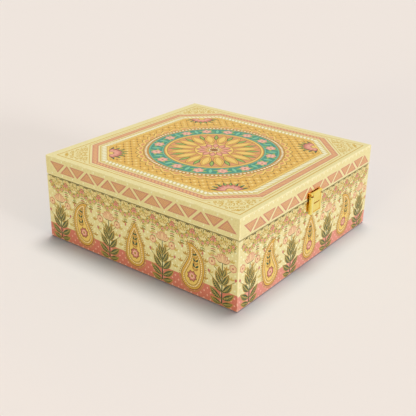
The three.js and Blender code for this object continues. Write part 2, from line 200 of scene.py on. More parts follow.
def lining_paper(shade):
    drawn = shade.node("Mapping", None, {"Vector": place(shade), "Scale": FIBRE_DRAWN_OUT})
    fibre = contrast(noise(shade, FIBRE_SIZE, 5.0, drawn), 2.0)
    tooth = paper_tooth(shade)
    return {
        "Base Color": mix(0.5 * fibre + 0.5 * tooth, tone(*LINING_DARK), tone(*LINING_PALE)),
        "Roughness": 0.72 + 0.15 * tooth,
        "Specular IOR Level": 0.3,
        "Normal": bump(0.6 * tooth + 0.4 * fibre, LINING_TOOTH),
    }


dress(finish("lining_paper", lining_paper), LINING_NODES)

# Dividers: ivory-faced board, cut with half-laps so that two cross two and stand up by themselves.
# The cut edges show the grey-brown core, seen along the tops and in the slots.
DIVIDER_FACE = (240, 229, 203)
DIVIDER_FACE_DARK = (226, 212, 180)
DIVIDER_CORE = (176, 150, 112)
DIVIDER_CORE_DARK = (142, 117, 84)
DIVIDER_NODES = ["divider_front", "divider_back", "divider_left", "divider_right"]
DIVIDER_EDGE = 0.0003
DIVIDER_TOOTH = 0.00006
CORE_LAYER = 0.0006
CUT_FACE = 0.3
WELD_REACH = 1e-6
ROUNDING_STEPS = 2
SHARP_ANGLE = math.radians(40)


def soften(name, edge):
    """Rounds off a node's sharp edges by this much and shades it smoothly over its small facets."""
    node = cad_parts[name]
    for attribute in ("custom_normal", "sharp_edge", "sharp_face"):
        if attribute in node.data.attributes:
            node.data.attributes.remove(node.data.attributes[attribute])
    weld = node.modifiers.new("joined facets", "WELD")
    weld.merge_threshold = WELD_REACH
    bevel = node.modifiers.new("rounded edges", "BEVEL")
    bevel.width = edge
    bevel.segments = ROUNDING_STEPS
    bevel.limit_method = "ANGLE"
    bevel.angle_limit = SHARP_ANGLE
    node.modifiers.new("flat faces", "WEIGHTED_NORMAL")


def axes(vector):
    """The three numbers of a vector."""
    return [vector.node("SeparateXYZ", None, {"Vector": vector}, axis) for axis in "XYZ"]


def divider_board(shade):
    upward = axes(shade.node("NewGeometry", output="True Normal"))[2]
    edge = abs(upward) > CUT_FACE
    tooth = paper_tooth(shade)
    core = contrast(noise(shade, CORE_LAYER, 4.0), 2.2)
    face = mix(tooth, tone(*DIVIDER_FACE_DARK), tone(*DIVIDER_FACE))
    return {
        "Base Color": mix(edge, face, mix(core, tone(*DIVIDER_CORE_DARK), tone(*DIVIDER_CORE))),
        "Roughness": 0.68 + 0.2 * edge,
        "Specular IOR Level": 0.3,
        "Normal": bump(tooth + edge * core, DIVIDER_TOOTH),
    }


dress(finish("divider_board", divider_board), DIVIDER_NODES)
for divider in DIVIDER_NODES:
    soften(divider, DIVIDER_EDGE)

# Printed wraps: satin art paper, printed cream, drawn tight over the boards, turned in and glued.
# The base's has a pink dado round its foot, higher on the left and the right than on the front and the
# back.
# The dado on the left and the right is printed deeper in tone as painted shade, since the left face is seen
# in shade. The paper is painted paler along the box's edges: partly worn paper, partly a painted highlight.
CREAM = (240, 229, 174)
CREAM_DARK = (222, 207, 144)
# Paler paper along the box's edges: partly worn paper, partly a painted highlight.
CREAM_RUBBED_AND_LIT = (250, 243, 214)
FRONT_DADO = (234, 157, 139)
FRONT_DADO_DARK = (214, 133, 115)
FRONT_DADO_TOP = 0.0164
# Painted shade: on the left and the right the dado is a darker copy of the front's pink, for the shade on
# the left face.
SIDE_DADO_IN_SHADE = (224, 134, 114)
SIDE_DADO_DARK_IN_SHADE = (203, 111, 92)
SIDE_DADO_TOP = 0.0180
RUB_WIDTH = 0.0016
RUB_PATCH = 0.004
RUB_AND_HIGHLIGHT_SHARE = 0.55
PRINT_CLOUD = 0.022
PRINT_GRAIN = 0.0013
PRINT_TOOTH = 0.00005
FOLD_EDGE = 0.0001
wrap_low, wrap_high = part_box("base_wrap")
lid_low, lid_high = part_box("lid_wrap")


def rub_and_edge_highlight(shade, low, high):
    """How near a point is to two of the box's outer faces at once, so to an edge: 0 to 1, in patches.
    There the paper is painted paler: partly worn, partly a painted highlight.
    """
    x, y, z = axes(place(shade))
    across, along, upright = high.x - abs(x), high.y - abs(y), (high.z - z).least(z - low.z)
    second = across.most(along).least(across.least(along).most(upright))
    return clamp(1 - second / RUB_WIDTH) * contrast(noise(shade, RUB_PATCH, 4.0), 3.0)


def print_blend(shade):
    """How much of the paler of its two tones a printed colour has: mottled by the paper's grain."""
    grain = contrast(noise(shade, PRINT_GRAIN, 3.0), 2.2)
    return 0.7 * grain + 0.3 * noise(shade, PRINT_CLOUD)


def cream_print(shade):
    return mix(print_blend(shade), tone(*CREAM_DARK), tone(*CREAM))


def dado_print(shade):
    x, y, z = axes(place(shade))
    blend = print_blend(shade)
    on_front = abs(y) > abs(x)
    dado_top = SIDE_DADO_TOP + (FRONT_DADO_TOP - SIDE_DADO_TOP) * on_front
    # Painted shade: the left and the right take the darker copy of the pink, the front and the back the lit
    # one.
    side_pink_in_shade = mix(blend, tone(*SIDE_DADO_DARK_IN_SHADE), tone(*SIDE_DADO_IN_SHADE))
    front_pink = mix(blend, tone(*FRONT_DADO_DARK), tone(*FRONT_DADO))
    return mix(z < dado_top, cream_print(shade), mix(on_front, side_pink_in_shade, front_pink))


def printed_paper(shade, low, high, colour):
    tooth = paper_tooth(shade)
    return {
        # Along the edges the paper is painted paler: partly worn paper, partly a painted highlight.
        "Base Color": mix(RUB_AND_HIGHLIGHT_SHARE * rub_and_edge_highlight(shade, low, high), colour(shade), tone(*CREAM_RUBBED_AND_LIT)),
        "Roughness": 0.46 + 0.16 * tooth,
        "Specular IOR Level": 0.35,
        "Normal": bump(tooth, PRINT_TOOTH),
    }


for wrap, low, high, colour in (
    ("base_wrap", wrap_low, wrap_high, dado_print),
    ("lid_wrap", lid_low, lid_high, cream_print),
):
    dress(finish(wrap + "_paper", lambda shade: printed_paper(shade, low, high, colour)), [wrap])
    soften(wrap, FOLD_EDGE)

# Ground print of the base: pale spots in staggered rows over the cream and the dado, on all four sides.
# They are printed first, and all the other prints of the base go over them.
MM = 0.001
INK = 0.012
HAIR = 0.0008
INK_PALE = 1.04
INK_DEEP = 0.92
INK_TOOTH = 0.00004
SIDE_HALF = wrap_high.x / MM
PRINT_MARGIN = 1.2
SIDE_PRINTED = SIDE_HALF - PRINT_MARGIN
BASE_TOP = wrap_high.z / MM
SPOT_PITCH = 7.85
SPOT_ROW = SPOT_PITCH / 2
SPOT_WIDTH = 2.2
SPOT_HEIGHT = 2.4
SPOT_LEVEL = 0.5
SPOT_INSET = 2
LOWEST_SPOTS = 2.4
HIGHEST_SPOTS = BASE_TOP - 3
SPOT_ROWS = np.arange(LOWEST_SPOTS, HIGHEST_SPOTS, SPOT_ROW)


class Film:
    """A print: thin closed films of ink, drawn in millimetres on flat faces of the box.

    A level of ink is INK thick, and where patches of one level overlap they differ by a HAIR.
    """

    def __init__(self, name, body, under=0):
        self.name = name
        self.body = body
        self.under = under
        self.points = []
        self.faces = []
        self.slots = []
        self.inks = []

    def turn_to(self, origin, along, up):
        """Draws what follows on a face through origin, with these directions along it and up it."""
        self.origin = np.array(origin)
        self.along = np.array(along)
        self.up = np.array(up)
        self.out = np.cross(along, up)
        self.laid = {}

    def rise(self, drawn, level):
        """How far a patch stands off the face: its level, and a hair that no patch it overlaps has."""
        left, right = drawn.real.min(), drawn.real.max()
        low, high = drawn.imag.min(), drawn.imag.max()
        laid = self.laid.setdefault(level, [])
        taken = {hair for hair, l, r, b, t in laid if l < right and left < r and b < high and low < t}
        hair = min(set(range(len(taken) + 1)) - taken)
        laid.append((hair, left, right, low, high))
        return (self.under + level) * INK + hair * HAIR

    def add_points(self, drawn, height):
        first = len(self.points)
        drawn = np.asarray(drawn, complex)
        flat = np.outer(drawn.real, self.along) + np.outer(drawn.imag, self.up) + height * self.out
        self.points += list(self.origin + MM * flat)
        return first

    def add_face(self, corners, ink):
        if ink not in self.inks:
            self.inks.append(ink)
        self.faces.append(corners)
        self.slots.append(self.inks.index(ink))

    def lay(self, outline, ink, level=1):
        """A filled patch inside an outline."""
        outline = np.asarray(outline, complex)
        if np.sum(outline.real * np.roll(outline.imag, -1) - np.roll(outline.real, -1) * outline.imag) < 0:
            outline = outline[::-1]
        count = len(outline)
        low = self.add_points(outline, 0)
        high = self.add_points(outline, self.rise(outline, level))
        self.add_face([low + k for k in reversed(range(count))], ink)
        self.add_face([high + k for k in range(count)], ink)
        for k in range(count):
            after = (k + 1) % count
            self.add_face([low + k, low + after, high + after, high + k], ink)

    def line(self, path, width, ink, level=1, closed=False):
        """A drawn line with mitred corners; its width may change along it."""
        path = np.asarray(path, complex)
        legs = np.roll(path, -1) - path
        if not closed:
            legs[-1] = legs[-2]
        legs = legs / np.abs(legs)
        before = np.roll(legs, 1)
        if not closed:
            before[0] = legs[0]
        across = 1j * (legs + before) / np.abs(legs + before)
        reach = across * np.asarray(width) / 2 / np.real(across * np.conj(1j * legs))
        edges = (path + reach, path - reach)
        top = self.rise(np.concatenate(edges), level)
        low_left, low_right = (self.add_points(edge, 0) for edge in edges)
        high_left, high_right = (self.add_points(edge, top) for edge in edges)
        count = len(path)
        for k in range(count if closed else count - 1):
            n = (k + 1) % count
            self.add_face([high_right + k, high_right + n, high_left + n, high_left + k], ink)
            self.add_face([low_left + k, low_left + n, low_right + n, low_right + k], ink)
            self.add_face([high_left + k, high_left + n, low_left + n, low_left + k], ink)
            self.add_face([low_right + k, low_right + n, high_right + n, high_right + k], ink)
        if not closed:
            self.add_face([low_left, low_right, high_right, high_left], ink)
            k = count - 1
            self.add_face([high_left + k, high_right + k, low_right + k, low_left + k], ink)

    def print_on(self):
        """Makes the piece, which rides with the paper that it is printed on."""
        mesh = bpy.data.meshes.new(self.name)
        mesh.from_pydata([tuple(point) for point in self.points], [], self.faces)
        for ink in self.inks:
            mesh.materials.append(ink)
        mesh.polygons.foreach_set("material_index", self.slots)
        mesh.update()
        piece = bpy.data.objects.new(self.name, mesh)
        bpy.context.scene.collection.objects.link(piece)
        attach(piece, self.body)


def ink(name, colour):
    """A printing ink that lets the paper's grain through."""
    pale = tone(*(min(255, INK_PALE * share) for share in colour))
    deep = tone(*(INK_DEEP * share for share in colour))

    def make(shade):
        tooth = paper_tooth(shade)
        return {
            "Base Color": mix(print_blend(shade), deep, pale),
            "Roughness": 0.42 + 0.18 * tooth,
            "Specular IOR Level": 0.38,
            "Normal": bump(tooth, INK_TOOTH),
        }

    return finish(name, make)


def sides(film, bottom):
    """Turns the film to each of the box's four sides, with its foot at a height in millimetres."""
    for name, origin, along in (
        ("front", (0, -SIDE_HALF, bottom), (1, 0, 0)),
        ("left", (-SIDE_HALF, 0, bottom), (0, -1, 0)),
        ("back", (0, SIDE_HALF, bottom), (-1, 0, 0)),
        ("right", (SIDE_HALF, 0, bottom), (0, 1, 0)),
    ):
        film.turn_to(MM * np.array(origin), along, (0, 0, 1))
        yield name


PALE_CREAM = ink("pale_cream_ink", (251, 244, 208))
PALE_PINK = ink("pale_pink_ink", (243, 190, 166))
diamond = np.array([SPOT_WIDTH, 1j * SPOT_HEIGHT, -SPOT_WIDTH, -1j * SPOT_HEIGHT]) / 2
ground = Film("base_ground_print", "base")
for side in sides(ground, 0):
    dado_top = (SIDE_DADO_TOP if side in ("left", "right") else FRONT_DADO_TOP) / MM
    for row, height in enumerate(SPOT_ROWS):
        first = -SIDE_PRINTED + SPOT_INSET + row % 2 * SPOT_PITCH / 2
        if abs(height - dado_top) > SPOT_HEIGHT / 2:
            for across in np.arange(first, SIDE_PRINTED - SPOT_INSET / 2, SPOT_PITCH):
                spot_ink = PALE_PINK if height < dado_top else PALE_CREAM
                ground.lay(across + 1j * height + diamond, spot_ink, SPOT_LEVEL)
ground.print_on()

# Leaf print of the base: a leafy row with a broken dark line along its top edge, leafy swags under that,
# and sprigs scattered below them. It is printed straight on the cream, and what follows goes over it.
SWAGS = 10
SWAG_SPAN = SIDE_PRINTED - 3.4
SWAG_PITCH = 2 * SWAG_SPAN / SWAGS
SWAG_STEPS = 24
BACK_TOP = BASE_TOP - 3.4
BACK_SAG = 6.5
END_SLACK = 0.1
BACK_LEAF = 3.0
BACK_LEAF_PITCH = 1.8
EDGE_ROW = BASE_TOP - 2.6
EDGE_LEAF = 3.0
EDGE_LEAF_PITCH = 2.1
# The broken dark line along the top is print, and also painted shade for the gap under the lid.
EDGE_LINE = BASE_TOP - 0.5
EDGE_LINE_WIDTH = 0.8
EDGE_DASHES = (3.8, 6.0, 4.6)
EDGE_DASH_PITCH = 12.2
LEAFLET_SLIMNESS = 0.4
LEAFLET_BEND = 0.4
LEAFLET_SPREAD = 48
SPRIG_PITCH = 12.1
SPRIG_ROWS = (22.5, 31.5, 40.5, 49.5)
SPRIG_LEAF = 4.2
SPRIG_ANGLES = (38, 90, 142)
OLIVE = ink("olive_ink", (138, 124, 54))
DARK_OLIVE = ink("dark_olive_ink", (84, 64, 18))
STRAW = ink("straw_ink", (212, 184, 96))
GOLD = ink("gold_ink", (198, 156, 70))


def towards(degrees):
    return np.exp(1j * np.radians(degrees))


def leaf(length, width, bend=0.0, fullness=1.0, steps=8):
    """A pointed leaf or petal along the real axis; bend turns its tip aside, in radians."""
    t = np.linspace(0, 1, steps + 1)
    spine = length * t * np.exp(1j * bend * t)
    side = 1j * np.gradient(spine)
    side *= width / 2 * np.sin(np.pi * t**fullness) / np.abs(side)
    return np.concatenate([(spine + side)[:-1], (spine - side)[:0:-1]])


def leaflet(length, bend=0.0):
    """A small slim leaf, drawn with few points."""
    return leaf(length, LEAFLET_SLIMNESS * length, bend, steps=5)


def walk(path, pitch, closed=False):
    """Evenly spaced places on a path, each with the direction of travel there."""
    ends = np.append(path, path[0]) if closed else np.asarray(path)
    legs = np.diff(ends)
    reach = np.concatenate([[0], np.cumsum(np.abs(legs))])
    count = max(1, round(reach[-1] / pitch))
    for distance in (np.arange(count) + 0.5) * reach[-1] / count:
        leg = np.searchsorted(reach, distance) - 1
        heading = legs[leg] / abs(legs[leg])
        yield ends[leg] + heading * (distance - reach[leg]), heading


def swag(start, end, sag):
    """A line that hangs down from its two ends."""
    t = np.linspace(0, 1, SWAG_STEPS + 1)
    return start + (end - start) * t - 4j * sag * t * (1 - t)


def leafy(film, path, pitch, size, inks, level):
    """Pairs of small leaves along a path, in these inks by turns."""
    for number, (at, heading) in enumerate(walk(path, pitch)):
        for turn in (1, -1):
            shape = heading * towards(LEAFLET_SPREAD * turn) * leaflet(size, LEAFLET_BEND * turn)
            film.lay(at + shape, inks[number % len(inks)], level)


def sprig(film, foot, colour):
    """Three small leaves that spread from one foot."""
    for angle in SPRIG_ANGLES:
        film.lay(foot + leaflet(SPRIG_LEAF) * towards(angle), colour)


leaves = Film("base_leaf_print", "base")
for side in sides(leaves, 0):
    edge_row = 1j * EDGE_ROW + np.array([-SWAG_SPAN, SWAG_SPAN])
    leafy(leaves, edge_row, EDGE_LEAF_PITCH, EDGE_LEAF, (STRAW, GOLD, STRAW, STRAW, OLIVE), 1)
    # Dark dashes along the top: print, and also painted shade for the gap under the lid.
    for number, (at, heading) in enumerate(walk(edge_row.real, EDGE_DASH_PITCH)):
        dash = EDGE_DASHES[number % len(EDGE_DASHES)] * np.array([-0.5, 0.5])
        leaves.line(at + dash + 1j * EDGE_LINE, EDGE_LINE_WIDTH, DARK_OLIVE, 2)
    for number in range(SWAGS + 1):
        knot = -SWAG_SPAN + number * SWAG_PITCH + 1j * BACK_TOP
        behind = swag(knot - SWAG_PITCH / 2, knot + SWAG_PITCH / 2, BACK_SAG)
        behind = behind[np.abs(behind.real) < SWAG_SPAN + END_SLACK]
        leafy(leaves, behind, BACK_LEAF_PITCH, BACK_LEAF, (STRAW, GOLD, STRAW, OLIVE), 1)
    for row, height in enumerate(SPRIG_ROWS):
        first = -SWAG_SPAN + (1 + row % 2) * SPRIG_PITCH / 2
        for number, across in enumerate(np.arange(first, SWAG_SPAN, SPRIG_PITCH)):
            sprig(leaves, across + 1j * height, (STRAW, GOLD)[(row + number) % 2])
leaves.print_on()

# Garlands along the top of the base: leafy ropes with blossoms, beads and tassels.
# They are printed over the leaves, and the clasp and the hinges are fixed over them.
GARLAND_OVER = 1
SWAG_TOP = BASE_TOP - 4.2
SWAG_SAG = 10
SWAG_STEM = 0.5
SWAG_LEAF = 3.6
SWAG_LEAF_PITCH = 1.7
BLOSSOM = {"radius": 1.7, "petals": 5}
BLOSSOM_PITCH = 6.8
BEADS_SAG = 4.0
BEAD_RADIUS = 0.6
BEAD_PITCH = 1.9
KNOT_FLOWER = {"radius": 2.3, "petals": 8}
KNOT_FLOWER_DROP = 0.6
PETAL_BREADTH = 1.9
PETAL_FULLNESS = 1.6
FLOWER_EYE = 0.34
TASSEL_GAP = 1
TASSEL_END = 48
SHORT_TASSEL = 7
TASSEL_STRING = 0.4
TASSEL_LEAF = 3.2
TASSEL_LEAF_PITCH = 2.2
TASSEL_BUD = leaf(4.4, 2.2, fullness=1.5) * towards(-90)
GREEN = ink("leaf_green_ink", (150, 160, 80))
PINK = ink("pink_ink", (230, 164, 140))
ROSE = ink("rose_ink", (202, 118, 104))


def circle(radius, steps=10):
    return radius * np.exp(2j * np.pi * np.arange(steps) / steps)


def turned(shape, count, start=0.0):
    """Copies of a shape, turned round the origin by even steps from a start in degrees."""
    for k in range(count):
        yield shape * towards(start + 360 * k / count)


def blossom(film, centre, radius, petals, level, outer, heart):
    """A small round flower of even petals with a dot in its middle."""
    petal_width = PETAL_BREADTH * radius * math.sin(math.pi / petals)
    for petal in turned(leaf(radius, petal_width, 0, PETAL_FULLNESS, 5), petals, 90):
        film.lay(centre + petal, outer, level)
    film.lay(centre + circle(FLOWER_EYE * radius, 8), heart, level + 1)


def tassel(film, top, bottom, inks):
    """A hanging string of paired leaves, with a bud at its end."""
    string = np.array([top, bottom])
    film.line(string, TASSEL_STRING, OLIVE)
    leafy(film, string, TASSEL_LEAF_PITCH, TASSEL_LEAF, inks, 2)
    film.lay(bottom + TASSEL_BUD, ROSE, 2)


garland = Film("base_garland_print", "base", GARLAND_OVER)
for side in sides(garland, 0):
    for number in range(SWAGS):
        start = -SWAG_SPAN + number * SWAG_PITCH + 1j * SWAG_TOP
        end = start + SWAG_PITCH
        rope = swag(start, end, SWAG_SAG)
        garland.line(rope, SWAG_STEM, OLIVE)
        leafy(garland, rope, SWAG_LEAF_PITCH, SWAG_LEAF, (OLIVE, GREEN, STRAW, GOLD), 2)
        for at, heading in walk(rope, BLOSSOM_PITCH):
            blossom(garland, at, **BLOSSOM, level=3, outer=PINK, heart=ROSE)
        for at, heading in walk(swag(start, end, BEADS_SAG), BEAD_PITCH):
            garland.lay(at + circle(BEAD_RADIUS, 6), GOLD, 2)
        hook = (start + end) / 2 - 1j * (SWAG_SAG + TASSEL_GAP)
        tassel(garland, hook, hook - 1j * SHORT_TASSEL, (STRAW, GREEN, OLIVE))
        if number:
            hook = start - 1j * TASSEL_GAP
            tassel(garland, hook, hook.real + 1j * TASSEL_END, (OLIVE, STRAW, PINK, GREEN, ROSE))
            knot = start - 1j * KNOT_FLOWER_DROP
            blossom(garland, knot, **KNOT_FLOWER, level=3, outer=ROSE, heart=STRAW)
garland.print_on()

# Drops round the base: tan and gold, with a fringe and beads, and leaves and a flower inside them.
# Seven figures stand in a row on each side, with their feet on the dado: a drop in the middle, a curled
# one second from each end, and plants between. They are printed over the garlands, in a few passes.
IVORY = ink("ivory_ink", (248, 240, 208))
TAN = ink("tan_ink", (228, 182, 82))
SAND = ink("sand_ink", (240, 205, 110))
OCHRE = ink("ochre_ink", (192, 142, 60))
BROWN = ink("brown_ink", (142, 92, 40))
PINE = ink("pine_ink", (60, 82, 52))
FIGURES = 7
FIGURE_PITCH = 2 * SIDE_HALF / FIGURES
FIGURES_OVER = 5
DROP_FOOT = 5.5
DROP_RADIUS = 13
DROP_LENGTH = 43
DROP_CURL = 100
MIDDLE_LENGTH = 37
DROP_STEPS = 240
DROP_KEPT_STEP = 6
DROP_TIP = 0.2
DROP_FOOT_ARC = np.linspace(180, 0, 17)[1:-1]
FRINGE_INSET = -0.2
FRINGE_PITCH = 2.3
FRINGE_LEAF = leaf(2.1, 1.7, fullness=1.3, steps=5)
DROP_EDGE = 0.7
DROP_LINE = 2.3
DROP_BEADS = 3.6
DROP_BEAD_RADIUS = 0.66
DROP_BEAD_PITCH = 2.1
DROP_FIELD_EDGE = 4.8
DROP_FIELD = 5.3
FINE_LINE = 0.5
SPRAY_STEM = slice(4, 29)
SPRAY_LEAVES = range(9, 29, 3)
SPRAY_LEAF_LEAST = 1.5
SPRAY_LEAF_SHARE = 0.62
SPRAY_LEAF_WIDTH = 2.2
SPRAY_LEAF_BEND = 0.4
SPRAY_SPREAD = 60
DROP_HEART = 2
HEART_PETALS = 8
HEART_COATS = ((6.4, 4.2, BROWN, 7), (5.6, 3.2, ROSE, 8), (3.8, 1.9, PALE_PINK, 9))
HEART_EYE = 1.5


class Drop:
    """A drop on a round foot, whose tapering tip curls aside by an angle in degrees."""

    def __init__(self, foot, length, curl):
        q = np.linspace(0, 1, DROP_STEPS + 1)
        heading = towards(90 + 0.25 * curl - curl * q**1.7)
        reach = np.cumsum(heading) - (heading[0] + heading) / 2
        self.spine = (foot + 1j * DROP_RADIUS + length / DROP_STEPS * reach)[::DROP_KEPT_STEP]
        self.heading = heading[::DROP_KEPT_STEP]
        self.half = (DROP_RADIUS * (1 - q) ** 1.1 * (1 + 1.1 * q))[::DROP_KEPT_STEP]

    def outline(self, inset):
        """The drop's edge, drawn in by an inset."""
        half = self.half - inset
        inside = half > DROP_TIP
        side = (1j * self.heading * half)[inside]
        spine = self.spine[inside]
        foot = spine[0] + side[0] * towards(DROP_FOOT_ARC)
        return np.concatenate([spine + side, (spine - side)[::-1], foot])


def drop_figure(film, foot, length, curl):
    """A drop with a fringe and a beaded border, a spray of leaves inside and a flower in its foot."""
    drop = Drop(foot, length, curl)
    for at, heading in walk(drop.outline(FRINGE_INSET), FRINGE_PITCH, True):
        film.lay(at + 1j * heading * FRINGE_LEAF, GOLD)
    film.lay(drop.outline(0), BROWN, 1)
    film.lay(drop.outline(DROP_EDGE), TAN, 2)
    film.line(drop.outline(DROP_LINE), FINE_LINE, OCHRE, 3, True)
    for at, heading in walk(drop.outline(DROP_BEADS), DROP_BEAD_PITCH, True):
        film.lay(at + circle(DROP_BEAD_RADIUS, 6), IVORY, 3)
    film.lay(drop.outline(DROP_FIELD_EDGE), BROWN, 4)
    film.lay(drop.outline(DROP_FIELD), SAND, 5)
    film.line(drop.spine[SPRAY_STEM], FINE_LINE, OCHRE, 6)
    for k in SPRAY_LEAVES:
        leaf_length = SPRAY_LEAF_SHARE * (drop.half[k] - DROP_FIELD) + SPRAY_LEAF_LEAST
        for turn in (1, -1):
            shape = leaf(leaf_length, SPRAY_LEAF_WIDTH, -SPRAY_LEAF_BEND * turn, steps=6)
            shape = drop.heading[k] * towards(SPRAY_SPREAD * turn) * shape
            film.lay(drop.spine[k] + shape, (PINE, OCHRE)[k % 2], 7)
    heart = drop.spine[DROP_HEART]
    for petal_length, width, colour, level in HEART_COATS:
        for petal in turned(leaf(petal_length, width, fullness=1.3), HEART_PETALS, 180 / HEART_PETALS):
            film.lay(heart + petal, colour, level)
    film.lay(heart + circle(HEART_EYE), OCHRE, 10)


drops = Film("base_drop_print", "base", FIGURES_OVER)
for side in sides(drops, 0):
    drop_figure(drops, 1j * DROP_FOOT, MIDDLE_LENGTH, 0)
    for mirror in (1, -1):
        drop_figure(drops, -2 * mirror * FIGURE_PITCH + 1j * DROP_FOOT, DROP_LENGTH, mirror * DROP_CURL)
drops.print_on()

# Plants round the base, between the drops: dark green stems with veined leaves, blossoms, buds and a
# large flower at the top. They are printed like the drops, after them.
PEACH = ink("peach_ink", (240, 206, 156))
CORAL = ink("coral_ink", (216, 150, 120))
PLANT_FOOT = 3.5
PLANT_HEIGHT = 45
PLANT_STEM = (1.5, 0.7)
PLANT_LEAVES = (
    (0, 13, 4.8, 0),
    (5, 16, 5.6, 17),
    (12, 16, 5.6, 33),
    (20, 14, 5.0, 45),
    (28, 10.5, 4.0, 55),
)
PLANT_LEAF_BEND = 0.28
PLANT_LEAF_RIM = (1.2, 1.3)
MIDRIB = np.linspace(0.04, 0.94, 7)
MIDRIB_WIDTH = 0.45
VEINS = np.linspace(0.2, 0.8, 6)
VEIN_WIDTH = 0.36
VEIN_REACH = 0.46
VEIN_SPREAD = 50
STALK = np.array([26j, 5 + 33j, 9.5 + 37j, 12 + 41j])
STALK_WIDTH = 0.6
STALK_BLOSSOMS = ((4.4, CORAL, 5), (3.4, PEACH, 6))
STALK_PETALS = 6
TWIG = np.array([19j, 8 + 22.5j, 14.5 + 27.5j])
TWIG_BUD = leaf(4.6, 2.6, fullness=1.4)
TWIG_LEAN = 22
CROWN = 43
CROWN_LEAVES = (8, 172)
CROWN_LEAF = leaf(6, 2.4)
CROWN_ROWS = ((150, 30), (126, 54), (106, 74), (90,))
CROWN_PETAL = leaf(10, 4.6, fullness=1.2)
CROWN_PETAL_MIDDLE = leaf(8.8, 3.2, fullness=1.2)


def mirrored(shape, side):
    """A shape as it is drawn for side 1, or its mirror image for side -1."""
    return shape if side > 0 else -np.conj(shape)


def veined_leaf(film, base, length, width, angle, side):
    """A dark leaf edged in gold and veined in straw, on the right for side 1 or mirrored for side -1."""
    def put(shape):
        return base + mirrored(shape * towards(angle), side)

    def spine(share):
        return length * share * np.exp(1j * PLANT_LEAF_BEND * share)

    longer, wider = PLANT_LEAF_RIM
    film.lay(put(leaf(length + longer, width + wider, PLANT_LEAF_BEND)), GOLD, 2)
    film.lay(put(leaf(length, width, PLANT_LEAF_BEND)), PINE, 3)
    film.line(put(spine(MIDRIB)), MIDRIB_WIDTH, STRAW, 4)
    for share in VEINS:
        reach = VEIN_REACH * width * math.sin(math.pi * share)
        for turn in (1, -1):
            vein = spine(share) + np.array([0, reach * towards(turn * VEIN_SPREAD)])
            film.line(put(vein), VEIN_WIDTH, STRAW, 4)


def plant_figure(film, foot):
    """A stem with pairs of veined leaves, a blossom and a bud on each side and a flower at its top."""
    film.line(foot + 1j * np.linspace(0, PLANT_HEIGHT, 6), np.linspace(*PLANT_STEM, 6), PINE, 1)
    for side in (1, -1):
        stalk = foot + mirrored(STALK, side)
        film.line(stalk, STALK_WIDTH, OLIVE, 1)
        for radius, colour, level in STALK_BLOSSOMS:
            blossom(film, stalk[-1], radius, STALK_PETALS, level, colour, ROSE)
        twig = foot + mirrored(TWIG, side)
        film.line(twig, FINE_LINE, OLIVE, 1)
        film.lay(twig[-1] + TWIG_BUD * towards(90 - TWIG_LEAN * side), ROSE, 5)
        for height, length, width, angle in PLANT_LEAVES:
            veined_leaf(film, foot + 1j * height, length, width, angle, side)
    crown = foot + 1j * CROWN
    for angle in CROWN_LEAVES:
        film.lay(crown + CROWN_LEAF * towards(angle), OLIVE, 2)
    for level, angles in enumerate(CROWN_ROWS, 3):
        for angle in angles:
            film.lay(crown + CROWN_PETAL * towards(angle), CORAL, level)
            film.lay(crown + CROWN_PETAL_MIDDLE * towards(angle), PEACH, level + 0.5)


plants = Film("base_plant_print", "base", FIGURES_OVER)
for side in sides(plants, 0):
    for number in (-3, -1, 1, 3):
        plant_figure(plants, number * FIGURE_PITCH + 1j * PLANT_FOOT)
plants.print_on()

# Print on the lid's rims: a row of triangles, up and down by turns, with a deeper edge and fine specks in
# them, and rows of pale spots beside them. On the left and the right the triangles sit a little higher.
TERRACOTTA = ink("terracotta_ink", (208, 146, 118))
BRICK = ink("brick_ink", (208, 136, 110))
APRICOT = ink("apricot_ink", (227, 181, 119))
TRIANGLE_BASE = 21.6
TRIANGLE_HEIGHT = 10.8
TRIANGLE_STEP = 14.785
TRIANGLES = 16
TRIANGLE_COATS = ((1, BRICK, 1), (0.88, TERRACOTTA, 2))
SPECKS = 8
SPECK_RADIUS = 0.7
FRONT_ROW = {
    "first": 16.8,
    "bottom": 2.7,
    "points_up": False,
    "spots": (19.7,),
    "spot_pitch": SPOT_PITCH,
}
SIDE_ROW = {
    "first": 14.1,
    "bottom": 5.6,
    "points_up": True,
    "spots": (3.4, 18.9),
    "spot_pitch": 2 * SPOT_PITCH,
}
ROWS = {"front": FRONT_ROW, "back": FRONT_ROW, "left": SIDE_ROW, "right": SIDE_ROW}
rims = Film("lid_rim_print", "lid")
triangle = np.array([-TRIANGLE_BASE / 2, TRIANGLE_BASE / 2, 1j * TRIANGLE_HEIGHT])
centroid = 1j * TRIANGLE_HEIGHT / 3
for side in sides(rims, lid_low.z / MM):
    row = ROWS[side]
    mirror = 1 if row is FRONT_ROW else -1
    for number in range(TRIANGLES):
        at = mirror * (row["first"] + number * TRIANGLE_STEP - SIDE_HALF) + 1j * row["bottom"]
        for share, colour, level in TRIANGLE_COATS:
            shape = centroid + share * (triangle - centroid)
            if row["points_up"] == (number % 2 == 1):
                shape = 1j * TRIANGLE_HEIGHT + np.conj(shape)
            rims.lay(at + shape, colour, level)
        for across in range(1, SPECKS + 1):
            for along in range(1, SPECKS - across + 1):
                rest = SPECKS + 1 - across - along
                speck = (shape[1] * across + shape[2] * along + shape[0] * rest) / (SPECKS + 1)
                rims.lay(at + speck + circle(SPECK_RADIUS, 6), APRICOT, 3)
    for height in row["spots"]:
        for across in np.arange(row["spot_pitch"] / 2, SIDE_PRINTED - SPOT_INSET, row["spot_pitch"]):
            for place_across in (across, -across):
                rims.lay(place_across + 1j * height + diamond, PALE_CREAM)
rims.print_on()

